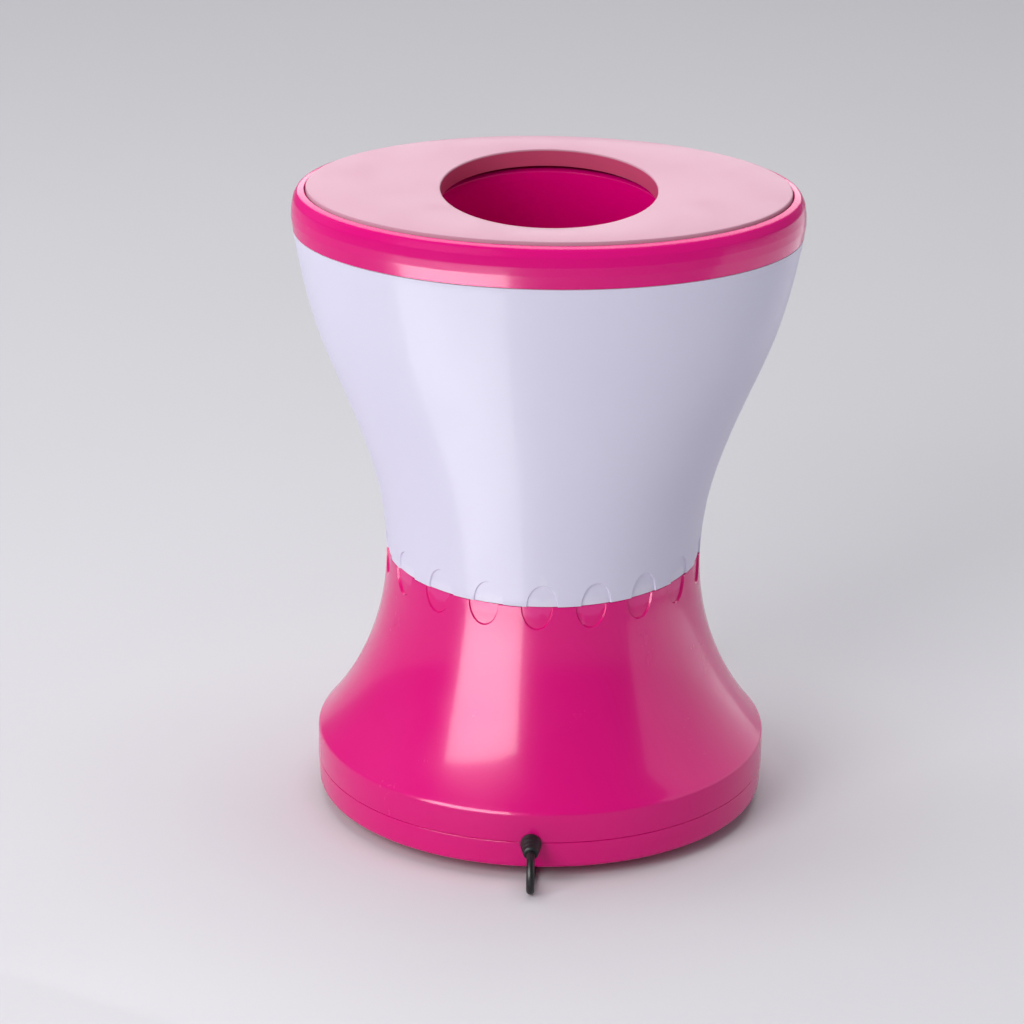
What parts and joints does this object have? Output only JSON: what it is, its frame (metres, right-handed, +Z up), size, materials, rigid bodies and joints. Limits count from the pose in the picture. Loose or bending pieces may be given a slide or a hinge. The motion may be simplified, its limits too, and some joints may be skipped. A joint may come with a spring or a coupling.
{
  "type": "cotton candy machine",
  "caption": "Hourglass cotton candy machine: white cup with an oval top on a flared pink base, oval lid with a round opening, lift-out bowl and spinning sugar head.",
  "frame": {"origin": "centre of the footprint on the surface it stands on, under the spinner axis", "axes": "+Z up along the spinner axis, -Y to the front where the mains lead leaves, +X to the right along the long axis of the oval top"},
  "size_m": [0.277, 0.3537, 0.3531],
  "materials": {
    "hot_pink_abs": "gloss moulded ABS",
    "white_abs": "gloss moulded ABS",
    "pale_pink_abs": "fine satin moulded ABS",
    "rubber_feet": "matt moulded rubber",
    "black_pvc": "satin PVC",
    "grommet_rubber": "matt moulded rubber",
    "screw_steel": "zinc plated",
    "plated_steel": "zinc plated",
    "spun_aluminium": "spun, concentric tool marks",
    "stainless_band": "slotted stainless strip",
    "tray_steel": "plated, heat tinted",
    "heater_sheath": "dull heat-stained sheath",
    "steatite": "unglazed ceramic",
    "bronze": "sintered bronze",
    "zinc_can": "drawn zinc-plated can",
    "black_nylon": "moulded nylon",
    "red_nylon": "moulded nylon",
    "cream_nylon": "moulded nylon",
    "tie_nylon": "moulded nylon strap",
    "board_laminate": "solder-masked laminate",
    "plug_pin_metal": "nickel-plated brass"
  },
  "bodies": {
    "base": {"base_pan": "hot_pink_abs", "cord_coil": "black_pvc", "cord_tie": "tie_nylon", "cord_tube": "black_pvc", "deck_plate": "plated_steel", "deck_screw_1": "screw_steel", "deck_screw_2": "screw_steel", "deck_screw_3": "screw_steel", "foot_1": "rubber_feet", "foot_2": "rubber_feet", "foot_3": "rubber_feet", "foot_4": "rubber_feet", "heater_carrier": "steatite", "heater_standoff_1": "plated_steel", "heater_standoff_2": "plated_steel", "heater_standoff_3": "plated_steel", "heater_tray": "tray_steel", "heating_element": "heater_sheath", "housing_screw_1": "screw_steel", "housing_screw_2": "screw_steel", "housing_screw_3": "screw_steel", "housing_screw_4": "screw_steel", "motor_can": "zinc_can", "motor_end_cap": "black_nylon", "motor_grommet_1": "grommet_rubber", "motor_grommet_2": "grommet_rubber", "motor_grommet_3": "grommet_rubber", "motor_plate": "plated_steel", "motor_screw_1": "screw_steel", "motor_screw_2": "screw_steel", "plate_screw_1": "screw_steel", "plate_screw_2": "screw_steel", "plate_screw_3": "screw_steel", "plug_body": "black_pvc", "plug_pin_1": "plug_pin_metal", "plug_pin_2": "plug_pin_metal", "rectifier_board": "board_laminate", "shaft_bush": "bronze", "skirt_housing": "hot_pink_abs", "strain_relief": "black_pvc", "switch_housing": "black_nylon", "terminal_block": "cream_nylon", "thermal_cutout": "zinc_can"},
    "cup": {"upper_cup": "white_abs", "top_rim": "hot_pink_abs"},
    "bowl": {"floss_bowl": "hot_pink_abs"},
    "lid": {"lid": "pale_pink_abs"},
    "spinner": {"spinner_dish": "spun_aluminium", "spinner_band": "stainless_band", "spinner_cover": "spun_aluminium", "spinner_nut": "plated_steel", "drive_shaft": "plated_steel", "cooling_fan": "black_nylon"},
    "rocker": {"rocker": "red_nylon"}
  },
  "joints": [
    {"name": "cup_twist", "type": "hinge", "parent": "base", "child": "cup", "pos_m": [0, 0, 0.1445], "axis": [0, 0, 1], "range_deg": [0, 20]},
    {"name": "bowl_lift", "type": "slide", "parent": "cup", "child": "bowl", "axis": [0, 0, 1], "range_m": [0, 0.15]},
    {"name": "lid_lift", "type": "slide", "parent": "bowl", "child": "lid", "axis": [0, 0, 1], "range_m": [0, 0.12]},
    {"name": "spinner_spin", "type": "hinge", "parent": "base", "child": "spinner", "pos_m": [0, 0, 0.2096], "axis": [0, 0, 1], "continuous": true},
    {"name": "rocker_tilt", "type": "hinge", "parent": "base", "child": "rocker", "pos_m": [0, 0.1205, 0.03115], "axis": [0, 0, 1], "range_deg": [0, 16]}
  ]
}
